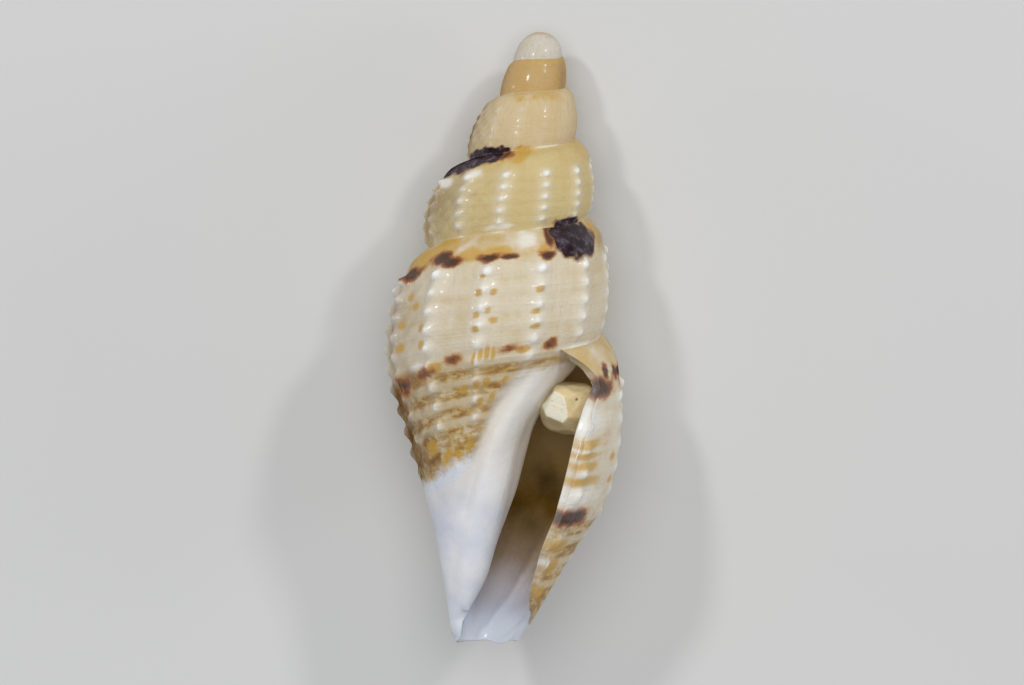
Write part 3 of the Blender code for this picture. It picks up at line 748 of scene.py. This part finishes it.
class Finish:
    """A material in the making: its node tree, its Principled shader, and short ways to add nodes."""

    def __init__(self, name):
        self.material = bpy.data.materials.new(name)
        self.material.use_nodes = True
        self.tree = self.material.node_tree
        self.shader = self.tree.nodes["Principled BSDF"]

    def put(self, value, socket):
        """Link a socket's value, or set a plain one."""
        if isinstance(value, bpy.types.NodeSocket):
            self.tree.links.new(value, socket)
        else:
            socket.default_value = value

    def add(self, kind, inputs, **settings):
        """A node with its settings and its inputs, which are named or numbered."""
        made = self.tree.nodes.new(kind)
        for key, value in settings.items():
            setattr(made, key, value)
        for key, value in inputs.items():
            self.put(value, made.inputs[key])
        return made

    def math(self, operation, first, second=0.0, clamp=False):
        made = self.add("ShaderNodeMath", {0: first, 1: second}, operation=operation, use_clamp=clamp)
        return made.outputs[0]

    def times(self, *factors):
        product = factors[0]
        for factor in factors[1:]:
            product = self.math("MULTIPLY", product, factor)
        return product

    def plus(self, *parts):
        total = parts[0]
        for part in parts[1:]:
            total = self.math("ADD", total, part)
        return total

    def most(self, first, second):
        return self.math("MAXIMUM", first, second)

    def opposite(self, value):
        return self.math("SUBTRACT", 1.0, value, True)

    def about(self, noise, wide):
        """A noise moved from about 0.5 to about 0, and made higher."""
        return self.times(self.math("SUBTRACT", noise, 0.5), wide)

    def mix(self, share, first, second):
        inputs = {"Factor": share, "A": first, "B": second}
        made = self.tree.nodes.new("ShaderNodeMix")
        made.data_type = "RGBA"
        for key, value in inputs.items():
            self.put(value, next(s for s in made.inputs if s.name == key and s.enabled))
        return next(s for s in made.outputs if s.enabled)

    def layered(self, colour, layers):
        """A colour with layers over it, each a share and a tone."""
        for share, tone in layers:
            over = tone if isinstance(tone, bpy.types.NodeSocket) else (*tone, 1.0)
            colour = self.mix(share, colour, over)
        return colour

    def smooth(self, value, low, high):
        """0 below low, 1 above high, a smooth step between."""
        inputs = {"Value": value, "From Min": low, "From Max": high}
        return self.add("ShaderNodeMapRange", inputs, interpolation_type="SMOOTHSTEP").outputs["Result"]

    def ramp(self, value, stops):
        """Colours along a value, at the places given with them."""
        made = self.add("ShaderNodeValToRGB", {"Fac": value})
        band = made.color_ramp
        while len(band.elements) < len(stops):
            band.elements.new(1.0)
        for element, (place, colour) in zip(band.elements, stops):
            element.position = place
            element.color = (*colour, 1.0)
        return made.outputs["Color"]

    def noise(self, vector, scale, detail=3.0, rough=0.5):
        """Fractal noise at a number of waves to a unit of the vector, about 0.5."""
        inputs = {"Vector": vector, "Scale": scale, "Detail": detail, "Roughness": rough}
        return self.add("ShaderNodeTexNoise", inputs).outputs["Fac"]

    def stretched(self, vector, scale):
        """A vector multiplied part by part."""
        return self.add("ShaderNodeMapping", {"Vector": vector, "Scale": scale}).outputs["Vector"]

    def space(self):
        """Places in mm."""
        return self.stretched(self.add("ShaderNodeTexCoord", {}).outputs["Object"], (1.0 / MM,) * 3)

    def attribute(self, name):
        """The four values of a colour attribute."""
        made = self.add("ShaderNodeAttribute", {}, attribute_name=name)
        parts = self.add("ShaderNodeSeparateColor", {"Color": made.outputs["Color"]}).outputs
        return parts[0], parts[1], parts[2], made.outputs["Alpha"]

    def complete(self, colour, roughness, height, strength, surface):
        """Colour, roughness and bumps put into the shader, and its constants."""
        inputs = {"Height": height, "Strength": strength, "Distance": BUMP_DISTANCE}
        bump = self.add("ShaderNodeBump", inputs)
        linked = {"Base Color": colour, "Roughness": roughness, "Normal": bump.outputs["Normal"]}
        for name, value in (linked | surface).items():
            self.put(value, self.shader.inputs[name])
        return self.material


def shell_finish(chosen):
    """Glossy, slightly see-through shell: a tone for each turn, pale ribs and beads, brown and gold marks,
    a bluish canal, cream callus, and a dark olive hollow. Its gloss fades where it turns away."""
    finish = Finish("turrid_shell")
    times, plus, opposite, most = finish.times, finish.plus, finish.opposite, finish.most
    smooth, about = finish.smooth, finish.about
    callus, inside, drop, edge_face = finish.attribute("zones")
    rib, cord, bead, ramp = finish.attribute("relief")
    dark, brown, gold, white = finish.attribute("marks")
    base, canal, side_shade_and_inner_stain, ridge = finish.attribute("tints")
    growth = finish.add("ShaderNodeUVMap", {}, uv_map="growth").outputs["UV"]
    turns = finish.add("ShaderNodeSeparateXYZ", {"Vector": growth}).outputs["X"]
    space = finish.space()
    fine = finish.noise(space, 9.0, 4.0, 0.6)
    soft = finish.noise(space, 2.2, 3.0)
    grain = finish.noise(space, 38.0, 2.0)
    lines = finish.noise(finish.stretched(growth, (95.0, 2.0, 1.0)), 1.0, 3.0, 0.6)
    threads = finish.noise(finish.stretched(growth, (7.0, 42.0, 1.0)), 1.0, 2.0)
    streaks = finish.noise(finish.stretched(growth, (24.0, 20.0, 1.0)), 1.0, 4.0, 0.6)

    def crisp(field, low, high, wide):
        """A soft field cut off at an edge that wanders with the fine noise."""
        return smooth(plus(field, about(fine, wide)), low, high)

    # Between the ribs and cords, the worn tops of both, and the golden net on the base.
    hollow = times(opposite(most(times(cord, 0.7), rib)), smooth(lines, 0.30, 0.75), opposite(ramp))
    furrows = times(smooth(cord, 0.42, 0.06), smooth(turns, -2.5, -1.33), opposite(ramp))
    furrows = times(furrows, smooth(streaks, 0.34, 0.62), opposite(times(rib, 0.6)))
    furrows = times(furrows, smooth(soft, 0.38, 0.62))
    worn = finish.math("ADD", times(bead, 0.60), times(rib, 0.22), True)
    newest = plus(times(smooth(turns, -0.85, -0.45), 0.5), 0.5)
    # The bead tips, brighter on the newer turns: partly their own white, partly a painted highlight.
    bead_tip_and_highlight = times(smooth(bead, 0.55, 1.0), smooth(fine, 0.30, 0.60), newest)
    netted = plus(times(fine, 0.55), times(streaks, 0.45))
    between_cords = opposite(smooth(cord, 0.30, 0.95))
    open_net = times(between_cords, opposite(times(rib, 0.55)), smooth(netted, 0.38, 0.52))
    core = plus(brown, about(fine, 0.6))

    # The canal's and the callus's edges wander, and the callus turns bluish towards the tip.
    wander = plus(about(fine, 0.7), about(soft, 0.7))
    in_canal = smooth(plus(canal, wander), 0.30, 0.68)
    covered = smooth(plus(callus, times(wander, 0.7)), 0.20, 0.80)
    canal_tone = finish.ramp(soft, ((0.36, chosen.canal), (0.62, CANAL_PALE)))
    callus_tone = finish.layered(finish.ramp(soft, CALLUS_TONES), (
        # The ridge painted paler, as light on its rounded top.
        (times(ridge, 0.8), RIDGE_PAINTED_LIGHT),
        (times(smooth(drop, 0.66, 0.84), 0.85), canal_tone),
    ))
    inner = finish.ramp(plus(drop, about(soft, 0.07)), INNER_TONES)
    inner = finish.layered(inner, ((times(side_shade_and_inner_stain, 0.85), SMUDGE),))

    oldest, newest_turn = TONE_TURNS
    grown = times(plus(turns, -oldest), 1.0 / (newest_turn - oldest))
    colour = finish.layered(finish.ramp(grown, TONES), (
        # Clouds, hollows between ribs, furrows between cords, worn tops, and whiter bead tips that are partly
        # a painted highlight.
        (times(smooth(soft, 0.42, 0.66), 0.35), chosen.tan),
        (times(hollow, 0.35), chosen.tan),
        (times(furrows, 0.38), chosen.ochre),
        (worn, chosen.white),
        (times(bead_tip_and_highlight, 0.8), BEAD_TIP_AND_HIGHLIGHT),
        # The ramps, the base and its net, and painted shade on the sides of the whorls.
        (times(ramp, smooth(soft, 0.30, 0.62), opposite(base), 0.82), chosen.ochre),
        (times(base, opposite(worn), 0.30), chosen.ochre),
        (times(base, open_net, 0.88), finish.ramp(netted, NET_TONES)),
        (times(side_shade_and_inner_stain, smooth(fine, 0.15, 0.50)), chosen.olive),
        # Marks. The dark ones have a brown fringe, and the lavender specks in them are painted glints.
        (times(crisp(gold, 0.15, 0.80, 0.3), 0.82), chosen.gold),
        (times(smooth(core, 0.10, 0.50), 0.94), finish.ramp(core, BROWN_TONES)),
        (times(crisp(dark, 0.14, 0.38, 0.35), 0.7), FRINGE),
        (crisp(dark, 0.34, 0.60, 0.28), finish.ramp(fine, DARK_TONES_AND_GLINTS)),
        # White marks, those on the shoulder knobs painted highlights.
        (times(crisp(white, 0.0, 1.0, 0.6), 0.78), chosen.white),
        # Canal and callus, the lip's face, the hollow, and the tip inside and outside.
        (in_canal, canal_tone),
        (covered, callus_tone),
        (times(edge_face, opposite(in_canal), 0.15), chosen.white),
        (times(edge_face, in_canal, 0.8), RIM_TONE),
        (inside, inner),
        (times(smooth(drop, 0.93, 0.985), most(in_canal, inside)), TIP_TONE),
    ))

    gloss = opposite(smooth(finish.add("ShaderNodeLayerWeight", {"Blend": 0.5}).outputs["Facing"], *AWAY))
    fading = {"Coat Weight": times(gloss, COAT), "Specular IOR Level": times(gloss, SPECULAR)}
    height = plus(times(lines, 0.7), times(threads, 0.5), fine, times(grain, 0.25))
    height = times(height, opposite(times(most(callus, canal), 0.6)))
    roughness = plus(times(grain, 0.12), chosen.roughness)
    return finish.complete(colour, roughness, height, 0.8, SHELL_SURFACE | fading)


def add_object(name, data, matrix):
    """An object in the scene, where the matrix puts it."""
    made = bpy.data.objects.new(name, data)
    made.matrix_world = matrix
    bpy.context.scene.collection.objects.link(made)
    return made


def add_piece(name, mesh, material):
    """A smooth piece at the origin, with its material."""
    mesh.shade_smooth()
    mesh.materials.append(material)
    return add_object(name, mesh, Matrix())


def make_shell(chosen):
    """The shell as one closed surface, with its finish."""
    patches = shell_patches()
    fields, growth = shell_fields(patches)
    mesh = closed_mesh("turrid_shell", patches, fields, growth)
    return add_piece("turrid_shell", mesh, shell_finish(chosen))


def tilts(way):
    """For each plane of the grain, the cosine of its tilt from each direction, first over the plane's
    distance and then alone."""
    for side, distance in GRAIN_SIDES:
        tilt = way @ (np.array(side) / np.linalg.norm(side))
        yield tilt / distance, tilt


def grain_points(east, north, size):
    """A ball trimmed by planes. Along a direction, each plane lies at its distance over the cosine of its
    tilt, and the surface at the soft least of those and the ball, the -1/p power of the sum of their -p
    powers. Waves across it leave it a little uneven."""
    parts = (np.cos(north) * np.cos(east), np.cos(north) * np.sin(east), np.sin(north))
    way = np.stack(np.broadcast_arrays(*parts), axis=-1)
    total = np.full(way.shape[:2], GRAIN_ROUND**-GRAIN_SHARPNESS)
    for nearness, tilt in tilts(way):
        total += np.maximum(nearness, 0.0) ** GRAIN_SHARPNESS * (tilt > LEAST_TILT)
    reach = total ** (-1.0 / GRAIN_SHARPNESS)
    waves = np.sin(way @ np.transpose(GRAIN_WAVES)).prod(axis=-1)
    from_middle = way * (reach * (1.0 + GRAIN_PITS * waves))[..., None] * size
    return way, from_middle @ np.stack(view_frame()) + np.array(laid_down(*GRAIN_PLACE))


def make_grain(chosen):
    """The grain, with its whiter face and its speck marked on it."""
    east = np.radians(np.linspace(0.0, TURN, GRAIN_COLUMNS + 1))[:, None]
    north = np.radians(np.linspace(-90.0, 90.0, GRAIN_COLUMNS // 2 + 1))[None, :]
    way, places = grain_points(east, north, chosen.size / MM)
    made = patch(east, north, places, OUTER)
    nearness = np.stack([near for near, _ in tilts(way)])
    others = np.delete(nearness, PALE_SIDE, axis=0).max(axis=0)
    pale = between(nearness[PALE_SIDE] / others, PALE_EDGE).reshape(-1)
    speck = np.exp(-((np.linalg.norm(way - np.array(SPECK_SIDE), axis=-1) / SPECK_WIDTH) ** 4)).reshape(-1)
    fields = {"faces": np.stack([pale, speck, 0.0 * pale, 1.0 + 0.0 * pale], axis=1)}
    growth = np.stack([flat([made], "angle"), flat([made], "place")], axis=1)
    mesh = closed_mesh("sand_grain", [made], fields, growth)
    return add_piece("sand_grain", mesh, grain_finish(chosen))


def grain_finish(chosen):
    """A grain of shell sand: cream, cloudy and finely pitted, with one whiter face and a dark speck."""
    finish = Finish("sand_grain")
    pale, speck = finish.attribute("faces")[:2]
    space = finish.space()
    cloud = finish.noise(space, 5.0, 4.0, 0.6)
    pits = finish.noise(space, 34.0, 3.0, 0.6)
    darker = tuple(GRAIN_SHADE * part for part in chosen.colour)
    cloudy = finish.ramp(cloud, ((0.34, darker), (0.62, chosen.colour)))
    colour = finish.layered(cloudy, (
        (finish.times(pale, 0.9), chosen.pale),
        (finish.smooth(pits, 0.60, 0.78), PIT_TONE),
        (speck, SPECK_TONE),
    ))
    roughness = finish.plus(finish.times(cloud, 0.2), 0.38)
    height = finish.plus(cloud, finish.times(pits, 0.35))
    return finish.complete(colour, roughness, height, 0.6, GRAIN_SURFACE)


def facing(place, target):
    """Where a lamp stands that looks at a target."""
    away = (Vector(place) - Vector(target)).normalized()
    return Matrix.Translation(place) @ away.to_track_quat("Z", "Y").to_matrix().to_4x4()


def view_frame():
    """The camera's right, up and backward directions: it looks straight at the axis, turned so that the
    apex leans to the right."""
    side = np.array((1.0, 0.0, 0.0))
    right = np.cos(VIEW_LEAN) * side - np.sin(VIEW_LEAN) * DOWN_AXIS
    up = -np.cos(VIEW_LEAN) * DOWN_AXIS - np.sin(VIEW_LEAN) * side
    return right, up, np.cross(right, up)


def make_stage(chosen):
    """Camera, lamps, light from all round, and floor."""
    right, up, back = view_frame()
    middle = np.array(laid_down(*VIEW_MIDDLE)) * MM
    camera = bpy.data.cameras.new("camera")
    camera.sensor_width = SENSOR
    camera.lens = SENSOR * chosen.distance / VIEW_WIDTH
    camera.clip_start, camera.clip_end = CLIP_ENDS
    axes = np.eye(4)
    axes[:3] = np.stack([right, up, back, middle + back * chosen.distance], axis=1)
    bpy.context.scene.camera = add_object("camera", camera, Matrix(axes))

    for name, (across, above, out), power, size in LAMPS:
        lamp = bpy.data.lights.new(name, "AREA")
        lamp.shape = "DISK"
        lamp.size = size
        lamp.energy = power * chosen.brightness
        stands = facing(middle + right * across + up * above + back * out, middle)
        add_object(name, lamp, stands).visible_glossy = size < SHEEN_SIZE

    world = bpy.data.worlds.new("studio")
    world.use_nodes = True
    sky = world.node_tree.nodes["Background"].inputs
    sky["Color"].default_value = (*SKY_TONE, 1.0)
    sky["Strength"].default_value = chosen.fill
    bpy.context.scene.world = world
    bpy.context.scene.view_settings.view_transform = "Standard"

    half = 0.5 * chosen.floor_span
    corners = [(-half, -half, 0.0), (half, -half, 0.0), (half, half, 0.0), (-half, half, 0.0)]
    mesh = bpy.data.meshes.new("floor")
    mesh.from_pydata(corners, [], [(0, 1, 2, 3)])
    finish = Finish("floor")
    finish.shader.inputs["Base Color"].default_value = (*chosen.floor_colour, 1.0)
    finish.shader.inputs["Roughness"].default_value = FLOOR_ROUGHNESS
    add_piece("floor", mesh, finish.material)


def choice(kind, name, description, default, least, most, **settings):
    """A setting that the panel shows, between a least and a most value."""
    return kind(name=name, description=description, default=default, min=least, max=most, **settings)


def colour_choice(name, description, default):
    return choice(FloatVectorProperty, name, description, default, 0.0, 1.0, subtype="COLOR")


def share_choice(name, description, default, most=1.0):
    return choice(FloatProperty, name, description, default, 0.0, most, subtype="FACTOR")


def length_choice(name, description, default, least, most):
    return choice(FloatProperty, name, description, default, least, most, unit="LENGTH")


class TURRID_PG_shell(PropertyGroup):
    rib_rise: share_choice("Rib height", "Height of the ribs, in heights of the whorl", RIB_RISE, 0.1)
    bead_rise: share_choice("Bead height", "Height of the beads, in heights of the whorl", BEAD_RISE, 0.05)
    roughness: share_choice("Roughness", "How matt the shell is under its gloss", 0.30)
    white: colour_choice("White", "Ribs, beads and the pale marks", (0.84, 0.82, 0.77))
    tan: colour_choice("Tan", "Between the ribs and cords", (0.56, 0.42, 0.21))
    ochre: colour_choice("Ochre", "The ramps below the sutures, and the base", (0.56, 0.38, 0.13))
    gold: colour_choice("Gold", "Dots, and blotches on the ramps", (0.56, 0.33, 0.05))
    # Olive is the painted shade on the sides of the whorls.
    olive: colour_choice("Olive", "The stains at the sides", (0.15, 0.06, 0.005))
    canal: colour_choice("Canal", "The bluish white end", (0.62, 0.67, 0.79))


class TURRID_PG_grain(PropertyGroup):
    size: length_choice("Size", "Length of the grain", MM * GRAIN_SIZE, 0.0001, 0.001)
    colour: colour_choice("Colour", "The body of the grain", (0.78, 0.64, 0.36))
    pale: colour_choice("Pale face", "The worn face at the left", (0.90, 0.87, 0.72))


class TURRID_PG_stage(PropertyGroup):
    floor_span: length_choice("Floor", "Length of the floor's sides", 0.6, 0.02, 2.0)
    floor_colour: colour_choice("Floor colour", "The plain pale floor", (0.68, 0.68, 0.67))
    distance: length_choice("Camera distance", "From the middle of the shell to the camera", 0.20, 0.05, 1.0)
    brightness: share_choice("Lamps", "Strength of all lamps, 1 as designed", 1.0, 5.0)
    fill: share_choice("Fill", "Light from all round", 0.22, 3.0)


class TURRID_OT_shell(Operator):
    """Grow the shell as one closed surface and give it its finish"""

    bl_idname = "turrid.shell"
    bl_label = "Add Shell"

    def execute(self, context):
        piece = make_shell(context.scene.turrid_shell)
        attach(piece, "root")
        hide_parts("shell")
        return {"FINISHED"}


class TURRID_OT_grain(Operator):
    """Wedge the grain of sand in the upper corner of the mouth"""

    bl_idname = "turrid.grain"
    bl_label = "Add Grain"

    def execute(self, context):
        piece = make_grain(context.scene.turrid_grain)
        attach(piece, "root")
        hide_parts("lodged_grain")
        return {"FINISHED"}


class TURRID_OT_stage(Operator):
    """Lay the floor and set the lamps and the camera"""

    bl_idname = "turrid.stage"
    bl_label = "Set Stage"

    def execute(self, context):
        make_stage(context.scene.turrid_stage)
        return {"FINISHED"}


class TURRID_PT_sidebar(Panel):
    """Sizes, colours and steps of the shell"""

    bl_idname = "TURRID_PT_sidebar"
    bl_label = "Turrid Shell"
    bl_space_type = "VIEW_3D"
    bl_region_type = "UI"
    bl_category = "Shell"

    def draw(self, context):
        for kind in ("shell", "grain", "stage"):
            chosen = getattr(context.scene, "turrid_" + kind)
            box = self.layout.box()
            for name in chosen.__annotations__:
                box.prop(chosen, name)
            box.operator("turrid." + kind)


CLASSES = (
    TURRID_PG_shell, TURRID_PG_grain, TURRID_PG_stage,
    TURRID_OT_shell, TURRID_OT_grain, TURRID_OT_stage, TURRID_PT_sidebar,
)


def register():
    for made in CLASSES:
        bpy.utils.register_class(made)
    bpy.types.Scene.turrid_shell = PointerProperty(type=TURRID_PG_shell)
    bpy.types.Scene.turrid_grain = PointerProperty(type=TURRID_PG_grain)
    bpy.types.Scene.turrid_stage = PointerProperty(type=TURRID_PG_stage)


def unregister():
    del bpy.types.Scene.turrid_shell, bpy.types.Scene.turrid_grain, bpy.types.Scene.turrid_stage
    for made in reversed(CLASSES):
        bpy.utils.unregister_class(made)


def main():
    register()
    bpy.ops.turrid.shell()
    bpy.ops.turrid.grain()
    bpy.ops.turrid.stage()


if __name__ == "__main__":
    main()
